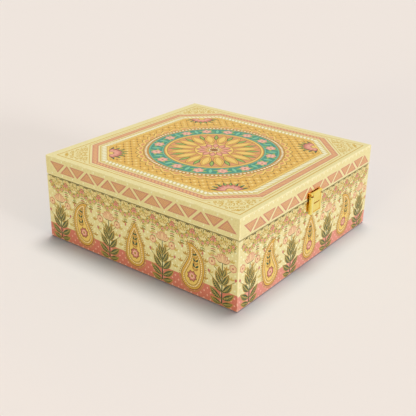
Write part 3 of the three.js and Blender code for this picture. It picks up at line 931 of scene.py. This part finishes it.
# Border of the lid's top: a gold hairline, scrollwork in the corners, a pink rope stripe and a white one.
# The stripes cut the corners off to an eight-sided frame. The sheet sits a little to the front.
BRIGHT_GOLD = ink("bright_gold_ink", (209, 168, 46))
BLUSH = ink("blush_ink", (210, 144, 110))
PALE_BLUSH = ink("pale_blush_ink", (229, 176, 120))
PALE_STRAW = ink("pale_straw_ink", (221, 202, 130))
WHITE = ink("white_ink", (249, 243, 212))
SHEET_SHIFT = np.array([-0.75, -2.3, 0.0])
HAIRLINE = 8.3
HAIRLINE_WIDTH = 1.1
PINK_ROPE = (14.8, 21.2)
PINK_ROPE_EDGE = 0.8
ROPE_LINES = (12.0, 23.6)
ROPE_LINE_WIDTH = 0.7
WHITE_ROPE = (24.4, 30.6)
STRAND = 7.2
EDGING = (30.6, 33.2)
EDGING_LINE = 0.4
CHAMFER = 68.5
SCROLLS = (
    (20.6 + 28.8j, 5.0, 1.6, -100),
    (16.6 + 36.6j, 3.0, 1.4, -80),
    (15.1 + 41.1j, 1.6, 1.2, -60),
    (16.1 + 22.4j, 2.8, 1.4, 80),
    (26.6 + 32.4j, 2.4, 1.3, 60),
    (21.9 + 38.0j, 2.2, 1.3, 140),
    (17.6 + 42.6j, 1.7, 1.2, 120),
    (12.4 + 33.0j, 1.7, 1.2, -40),
    (12.6 + 26.6j, 1.6, 1.2, 200),
    (12.6 + 18.2j, 1.8, 1.2, 100),
)
SCROLL_STEPS = 25
SCROLL_WIND_IN = 0.86
SCROLL_WIDTHS = (0.85, 0.4)
SCROLL_EYE = 0.2
SCROLL_LEAVES = (
    (14.6 + 27.1j, 4.5, 75),
    (14.6 + 32.6j, 3.2, 20),
    (20.4 + 34.6j, 3.5, 150),
    (25.1 + 25.6j, 4.0, 80),
    (19.1 + 18.4j, 3.8, 70),
    (24.6 + 29.6j, 3.0, 10),
    (12.4 + 37.6j, 3.0, 60),
    (19.4 + 41.0j, 2.6, -60),
    (12.4 + 44.2j, 3.4, 80),
    (27.6 + 29.0j, 2.6, 60),
)
SCROLL_LEAF_WIDTH = 1.5
SCROLL_LEAF_BEND = 0.5
CORNER_SPRIG = 13.6 + 13.6j
CORNER_SPRIG_LEAF = leaf(5.0, 1.9, fullness=1.2)
CORNER_SPRIG_ANGLES = (45, 10, 80)


def octagon(offset):
    """The frame's eight corners at a distance in from the sheet's edges."""
    long = SIDE_HALF - offset
    short = SIDE_HALF - CHAMFER - math.sqrt(2) * (offset - PINK_ROPE[0]) + offset
    corner = np.array([long + 1j * short, short + 1j * long])
    return np.concatenate([corner * 1j**quarter for quarter in range(4)])


def square(offset):
    return (SIDE_HALF - offset) * np.array([1 - 1j, 1 + 1j, -1 + 1j, -1 - 1j])


def spiral(radius, turns, start):
    """A scroll that winds in from its outer end, which lies at a start angle in degrees."""
    t = np.linspace(0, 1, SCROLL_STEPS + 1)
    return radius * (1 - SCROLL_WIND_IN * t) * towards(start + 360 * turns * t)


def band(film, edges, colour):
    low, high = edges
    film.line(octagon((low + high) / 2), high - low, colour, 1, True)


def rope_stripe(film, edges, behind, strands, pitch, width, slant):
    """A band with strands that slant across it, as on a twisted rope."""
    band(film, edges, behind)
    strand = (leaf(STRAND, width) - STRAND / 2) * towards(slant)
    for at, heading in walk(octagon(sum(edges) / 2), pitch, True):
        film.lay(at + strand * heading, strands, 2)


def in_corner(local, quarter, swap):
    """Where a place given by its distances from a corner's two edges, swapped if asked, is on the sheet."""
    local = np.asarray(local)
    return (SIDE_HALF * (1 + 1j) - (1j * np.conj(local) if swap else local)) * 1j**quarter


def turn_to_top(film):
    film.turn_to(MM * SHEET_SHIFT + [0, 0, lid_high.z], (1, 0, 0), (0, 1, 0))


border = Film("lid_border_print", "lid")
turn_to_top(border)
border.line(square(HAIRLINE), HAIRLINE_WIDTH, BRIGHT_GOLD, 1, True)
for offset in ROPE_LINES:
    border.line(octagon(offset), ROPE_LINE_WIDTH, BRIGHT_GOLD, 1, True)
rope_stripe(border, PINK_ROPE, BLUSH, PALE_BLUSH, pitch=4.4, width=2.6, slant=-50)
for offset in (PINK_ROPE[0] + PINK_ROPE_EDGE / 2, PINK_ROPE[1] - PINK_ROPE_EDGE / 2):
    border.line(octagon(offset), PINK_ROPE_EDGE, BRICK, 3, True)
rope_stripe(border, WHITE_ROPE, PALE_STRAW, WHITE, pitch=4.8, width=3.0, slant=-58)
band(border, EDGING, SAND)
for offset in EDGING:
    border.line(octagon(offset), EDGING_LINE, OCHRE, 2, True)
for quarter in range(4):
    for swap in (False, True):
        for centre, radius, turns, start in SCROLLS:
            path = in_corner(centre + spiral(radius, turns, start), quarter, swap)
            border.line(path, np.linspace(*SCROLL_WIDTHS, len(path)), BRIGHT_GOLD, 2)
            eye = circle(SCROLL_EYE * radius, 6)
            border.lay(in_corner(centre + eye, quarter, swap), BRIGHT_GOLD, 2)
        for base, length, angle in SCROLL_LEAVES:
            shape = leaf(length, SCROLL_LEAF_WIDTH, SCROLL_LEAF_BEND, steps=6) * towards(angle)
            border.lay(in_corner(base + shape, quarter, swap), BRIGHT_GOLD, 2)
    for angle in CORNER_SPRIG_ANGLES:
        shape = CORNER_SPRIG_LEAF * towards(angle)
        border.lay(in_corner(CORNER_SPRIG + shape, quarter, False), BRIGHT_GOLD, 2)
border.print_on()

# Medallion in the lid's frame: a rosette inside rings of petals, on a tan ground with a trellis round it.
# It is printed last, in a few passes from the ground up.
TEAL = ink("teal_ink", (62, 142, 122))
SEA = ink("sea_ink", (128, 196, 156))
LIME = ink("lime_ink", (150, 184, 84))
DUSK = ink("dusk_ink", (220, 154, 100))
BUTTER = ink("butter_ink", (247, 224, 152))
PICTURE = octagon(EDGING[1])
PICTURE_DIAGONAL = abs(PICTURE[:2].sum()) / 2
PICTURE_FLAT = math.sqrt(2) * PICTURE[0].real
SLANT = towards(45)
TRELLIS = 7.8
TRELLIS_LINES = TRELLIS * (np.arange(-14, 14) + 0.5)
TRELLIS_LINE_WIDTH = 0.5
KNOT_RADIUS = 1.1
KNOT_ROOM = 1.4
TRELLIS_PETAL = leaf(2.0, 1.3, fullness=1.3, steps=5)
TRELLIS_FLOWER_ROOM = 2.2
FAN_INSET = 0.3
FAN_LEAF_ANGLES = np.linspace(-78, 78, 8)
FAN_LEAF_COATS = ((0, 20, 4.6, PINE, 4), (1.2, 17, 2.6, LIME, 5))
FAN_PETAL_ANGLES = np.linspace(-75, 75, 7)
FAN_PETAL_COATS = ((15, 7.0, BROWN, 6), (14.2, 6.0, ROSE, 7), (11.6, 3.8, PINK, 8))
FAN_HEART = towards(np.linspace(-90, 90, 15))
FAN_HEART_COATS = ((4.6, BROWN, 9), (3.8, SAND, 10))
SCALLOPS = (74, 86)
SCALLOP_PETALS = 40
SCALLOP_WIDTH = 14.2
SCALLOP_COATS = ((BROWN, 0, 3), (SAND, 0.6, 4), (DUSK, 2.6, 5))
BEAD_RING = (71, 77.4)
FLOWER_RING = (54, 71.4)
SEA_RINGS = (FLOWER_RING[0] + 1.8, FLOWER_RING[1] - 1.4)
SEA_RING_HALF = 0.4
FLOWERS = 16
FLOWER_PETALS = 6
FLOWER_LEAF = leaf(10.2, 3.4, 0.3)
FLOWER_LEAF_ANGLES = (62, 118, 242, 298)
FLOWER_COATS = ((6.2, 4.4, PINK, 7), (4.0, 2.6, PALE_PINK, 8))
FLOWER_HEART = 1.4
SEA_LEAF = leaf(11.6, 3.6) - 5.8
INNER_RING = (50.2, 54.6)
INNER_RING_LINE = 1.3
LOTUS_FIELD = (19, 50.6)
LOTUS_WIDTH = 12.0
LOTUS_COATS = ((BROWN, 0, 3), (TAN, 0.6, 4), (OCHRE, 2.2, 5), (SAND, 2.8, 6))
LEAF_RING = (33, 50)
LEAF_RING_WIDTH = 5.0
LEAF_RING_COATS = ((PINE, 0, 3), (LIME, 0.9, 4))
DISC_COATS = ((22, OCHRE, 7), (20.8, SAND, 8))
ROSETTE_FIELD = (6, 20.4)
ROSETTE_PETALS = 12
ROSETTE_WIDTH = 7.2
ROSETTE_COATS = ((BROWN, 0, 9), (ROSE, 0.4, 10), (PINK, 1.4, 11))
BUTTON = 6.8
BUTTON_BEADS = 5.4
STAR = (0, 4.4)
STAR_PETALS = 8
STAR_WIDTH = 2.6


def petal_ring(film, count, edges, width, coats, start=0.0, fullness=1.0):
    """Petals round the middle; each coat is an ink, a trim off the petal's edge and a level."""
    inner, outer = edges
    for colour, trim, level in coats:
        shape = inner + 1.5 * trim + leaf(outer - inner - 3 * trim, width - 2 * trim, 0, fullness, 12)
        for petal in turned(shape, count, start):
            film.lay(petal, colour, level)


def ring(film, edges, colour, level):
    low, high = edges
    film.line(circle((low + high) / 2, 120), high - low, colour, level, True)


def bead_ring(film, radius, pitch, size, colour, level):
    for at, heading in walk(circle(radius, 120), pitch, True):
        film.lay(at + circle(size, 8), colour, level)


def trellis_room(knot):
    """How far a place in the trellis lies inside the picture and outside the rings.

    The trellis is turned by 45 degrees, and a place in it is given as before that turn.
    """
    across, along = abs(knot.real), abs(knot.imag)
    in_flat = (PICTURE_FLAT - across - along) / math.sqrt(2)
    return min(PICTURE_DIAGONAL - max(across, along), in_flat, abs(knot) - SCALLOPS[1])


def in_fan(local, quarter):
    """From a fan's foot, on a cut corner of the frame, with its middle petal along the real axis."""
    return (PICTURE_DIAGONAL - FAN_INSET - local) * SLANT * 1j**quarter


medallion = Film("lid_medallion_print", "lid")
turn_to_top(medallion)
medallion.lay(PICTURE, TAN, 1)
for across in TRELLIS_LINES:
    reach = min(PICTURE_DIAGONAL, PICTURE_FLAT - abs(across))
    start = math.sqrt(max(0, BEAD_RING[1] ** 2 - across**2))
    for quarter in range(4):
        if reach > start:
            lath = (across + 1j * np.array([start, reach])) * SLANT * 1j**quarter
            medallion.line(lath, TRELLIS_LINE_WIDTH, OCHRE, 2)
    for along in TRELLIS_LINES:
        knot = across + 1j * along
        middle = knot + TRELLIS / 2 * (1 + 1j)
        if trellis_room(knot) > KNOT_ROOM:
            medallion.lay((knot + circle(KNOT_RADIUS, 6)) * SLANT, BROWN, 3)
        if trellis_room(middle) > TRELLIS_FLOWER_ROOM:
            for petal in turned(TRELLIS_PETAL, 4):
                medallion.lay((middle + petal) * SLANT, BUTTER, 2)
for quarter in range(4):
    for angle in FAN_LEAF_ANGLES:
        for foot, length, width, colour, level in FAN_LEAF_COATS:
            medallion.lay(in_fan(foot + leaf(length, width) * towards(angle), quarter), colour, level)
    for angle in FAN_PETAL_ANGLES:
        for length, width, colour, level in FAN_PETAL_COATS:
            petal = leaf(length, width, fullness=1.3) * towards(angle)
            medallion.lay(in_fan(petal, quarter), colour, level)
    for radius, colour, level in FAN_HEART_COATS:
        medallion.lay(in_fan(radius * FAN_HEART, quarter), colour, level)
petal_ring(medallion, SCALLOP_PETALS, SCALLOPS, SCALLOP_WIDTH, SCALLOP_COATS)
ring(medallion, BEAD_RING, OCHRE, 6)
bead_ring(medallion, sum(BEAD_RING) / 2, pitch=4.2, size=1.4, colour=IVORY, level=7)
ring(medallion, FLOWER_RING, TEAL, 5)
for radius in SEA_RINGS:
    ring(medallion, (radius - SEA_RING_HALF, radius + SEA_RING_HALF), SEA, 6)
flower_radius = sum(FLOWER_RING) / 2
for angle in np.arange(FLOWERS) * 360 / FLOWERS:
    at = flower_radius * towards(angle)
    halfway = towards(angle + 180 / FLOWERS)
    for turn in FLOWER_LEAF_ANGLES:
        medallion.lay(at + FLOWER_LEAF * towards(angle + turn), LIME, 6)
    for length, width, colour, level in FLOWER_COATS:
        for petal in turned(leaf(length, width, fullness=1.4), FLOWER_PETALS, angle):
            medallion.lay(at + petal, colour, level)
    medallion.lay(at + circle(FLOWER_HEART, 8), ROSE, 9)
    medallion.lay((flower_radius + SEA_LEAF) * halfway, SEA, 6)
ring(medallion, INNER_RING, OCHRE, 6)
ring(medallion, (INNER_RING[0] + INNER_RING_LINE, INNER_RING[1] - INNER_RING_LINE), SAND, 7)
ring(medallion, LOTUS_FIELD, DUSK, 2)
petal_ring(medallion, FLOWERS, LOTUS_FIELD, LOTUS_WIDTH, LOTUS_COATS)
petal_ring(medallion, FLOWERS, LEAF_RING, LEAF_RING_WIDTH, LEAF_RING_COATS, 180 / FLOWERS)
for radius, colour, level in DISC_COATS:
    medallion.lay(circle(radius, 64), colour, level)
petal_ring(medallion, ROSETTE_PETALS, ROSETTE_FIELD, ROSETTE_WIDTH, ROSETTE_COATS, fullness=1.3)
medallion.lay(circle(BUTTON, 32), OCHRE, 12)
bead_ring(medallion, BUTTON_BEADS, pitch=2.2, size=0.8, colour=IVORY, level=13)
petal_ring(medallion, STAR_PETALS, STAR, STAR_WIDTH, ((BROWN, 0, 13),), fullness=1.4)
medallion.print_on()

# Hinges and clasp: sheet metal, pressed and rolled round their pins, then gilt and polished.
# Screws hold the hinges on the back, and small nails hold the clasp's plates on the front. The gilt is
# painted paler along the crests of the flap as a painted highlight, with painted shade in its creases and a
# darker painted shade in the recesses.
GILT = (255, 243, 146)
GILT_DEEP = (250, 224, 108)
# Painted highlight: a paler gilt along the flap's crest.
GILT_HIGHLIGHT = (255, 249, 178)
# Painted shade: a deeper, orange gilt in the creases, where a little less open air reaches.
GILT_CREASE_SHADE = (232, 170, 46)
# Painted shade: brown in the recesses, gaps and slit, where little open air reaches.
RECESS_SHADE = (146, 78, 22)
GILT_CLOUD = 0.004
BRUSH_SIZE = 0.0016
BRUSH_DRAWN_OUT = (1.0, 6.0, 6.0)
BRUSH_DEPTH = 0.000012
RECESS_REACH = 0.002
CREASE_SHADE_OPEN = 0.98
CREASE_SHADE_GAIN = 5
RECESS_SHADE_OPEN = 0.55
RECESS_SHADE_GAIN = 4.5
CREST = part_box("clasp_flap")[0].y
CREST_DEPTH = 0.0004
GILT_EDGE = 0.00012
GILT_NODES = [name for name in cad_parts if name.startswith(("hinge_", "clasp_"))]


def gilt_metal(shade):
    wiped = shade.node("Mapping", None, {"Vector": place(shade), "Scale": BRUSH_DRAWN_OUT})
    brushed = noise(shade, BRUSH_SIZE, 3.0, wiped)
    cloud = contrast(noise(shade, GILT_CLOUD), 1.6)
    gilt = mix(cloud, tone(*GILT_DEEP), tone(*GILT))
    behind_crest = axes(place(shade))[1] - CREST
    # Painted highlight: paler gilt within CREST_DEPTH behind the flap's front crest.
    highlighted = clamp(1 - behind_crest / CREST_DEPTH)
    open_air = shade.node("AmbientOcclusion", None, {"Distance": RECESS_REACH}, "AO")
    # Painted shade in the creases, from how much open air reaches the metal.
    crease_shaded = clamp((CREASE_SHADE_OPEN - open_air) * CREASE_SHADE_GAIN)
    # Painted shade in the recesses, where little open air reaches the metal.
    recess_shaded = clamp((RECESS_SHADE_OPEN - open_air) * RECESS_SHADE_GAIN)
    gilt_with_painted_light = mix(crease_shaded, mix(highlighted, gilt, tone(*GILT_HIGHLIGHT)), tone(*GILT_CREASE_SHADE))
    return {
        "Base Color": mix(recess_shaded, gilt_with_painted_light, tone(*RECESS_SHADE)),
        "Metallic": 1.0,
        "Roughness": 0.1 + 0.12 * brushed,
        "Normal": bump(brushed, BRUSH_DEPTH),
    }


dress(finish("gilt_metal", gilt_metal), GILT_NODES)
for fitting in GILT_NODES:
    soften(fitting, GILT_EDGE)

# Studio: a pale floor under an even sky, a broad light overhead and two low soft ones, before the box and
# on its left. The sky is seen, also in the metal, in the floor's lit colour, but lights the box at a lower
# level. Near the box the floor has a painted shadow, darker and cooler, which also stands against the warm
# light that the box throws back on it.
FLOOR = (242, 233, 227)
# Painted shadow: the floor's colour near the box, darker and cooler than its lit colour.
FLOOR_PAINTED_SHADOW = (178, 203, 222)
FLOOR_SHADOW_REACH = 0.2
FLOOR_REACH = 15.0
BACKDROP = (240, 230, 221)
SKY_LIGHT = 0.18
SKY_TINT = (0.9, 0.97, 1.08, 1.0)
LAMPS = {
    "overhead": {
        "strength": 2.22,
        "angle": 22,
        "towards": (0.208, 0.044, 0.977),
        "tint": (1.0, 0.972, 0.93),
    },
    "front": {
        "strength": 1.77,
        "angle": 16,
        "towards": (-0.03, -0.985, 0.15),
        "tint": (1.0, 1.0, 1.0),
    },
    "left": {
        "strength": 1.0,
        "angle": 12,
        "towards": (-0.985, -0.08, 0.11),
        "tint": (1.0, 0.93, 0.56),
    },
}


def studio_floor(shade):
    # Painted shadow: the floor is darker and cooler where the box shuts off its open air.
    near = 1 - shade.node("AmbientOcclusion", None, {"Distance": FLOOR_SHADOW_REACH}, "AO")
    return {
        "Base Color": mix(near, tone(*FLOOR), tone(*FLOOR_PAINTED_SHADOW)),
        "Roughness": 0.9,
        "Specular IOR Level": 0.0,
    }


floor_mesh = bpy.data.meshes.new("studio_floor")
corners = [(FLOOR_REACH * x, FLOOR_REACH * y, 0) for x, y in ((-1, -1), (1, -1), (1, 1), (-1, 1))]
floor_mesh.from_pydata(corners, [], [(0, 1, 2, 3)])
floor_mesh.materials.append(finish("studio_floor", studio_floor))
floor = bpy.data.objects.new("studio_floor", floor_mesh)
bpy.context.scene.collection.objects.link(floor)

world = bpy.data.worlds.new("studio")
world.use_nodes = True
bpy.context.scene.world = world
sky = Shade(world.node_tree)
seen = sky.node("LightPath", output="Is Camera Ray")
seen = seen.most(sky.node("LightPath", output="Is Glossy Ray"))
seen = seen.most(sky.node("LightPath", output="Is Transmission Ray"))
backdrop = sky.node("Background", None, {"Color": tone(*BACKDROP)})
light = sky.node("Background", None, {"Color": SKY_TINT, "Strength": SKY_LIGHT})
both = sky.node("MixShader", None, {0: seen, 1: light, 2: backdrop})
world.node_tree.links.new(both.socket, world.node_tree.nodes["World Output"].inputs["Surface"])

for name, lamp in LAMPS.items():
    data = bpy.data.lights.new(name, "SUN")
    data.energy = lamp["strength"]
    data.color = lamp["tint"]
    data.angle = math.radians(lamp["angle"])
    sun = bpy.data.objects.new(name, data)
    sun.rotation_mode = "QUATERNION"
    sun.rotation_quaternion = Vector(lamp["towards"]).to_track_quat("Z", "Y")
    bpy.context.scene.collection.objects.link(sun)

# Camera, fitted to the ten corners of the box that show in the picture, which is 416 pixels square.
# It stands to the left of the front and looks down on the lid.
IMAGE = 416
FOCAL = 734.17
AZIMUTH = math.radians(-52.738)
ELEVATION = math.radians(24.387)
ROLL = math.radians(0.920)
EYE = Vector((-0.60420, -0.45424, 0.36838))

level = math.cos(ELEVATION)
back = Vector((math.sin(AZIMUTH) * level, -math.cos(AZIMUTH) * level, math.sin(ELEVATION)))
right = Vector((math.cos(AZIMUTH), math.sin(AZIMUTH), 0))
above = back.cross(right)
rolled_right = math.cos(ROLL) * right + math.sin(ROLL) * above
rolled_above = math.cos(ROLL) * above - math.sin(ROLL) * right
turn = Matrix((rolled_right, rolled_above, back)).transposed()
camera_data = bpy.data.cameras.new("camera")
camera_data.lens = FOCAL / IMAGE * camera_data.sensor_width
camera = bpy.data.objects.new("camera", camera_data)
camera.matrix_world = Matrix.Translation(EYE) @ turn.to_4x4()
bpy.context.scene.collection.objects.link(camera)
bpy.context.scene.camera = camera
bpy.context.scene.view_settings.view_transform = "Standard"
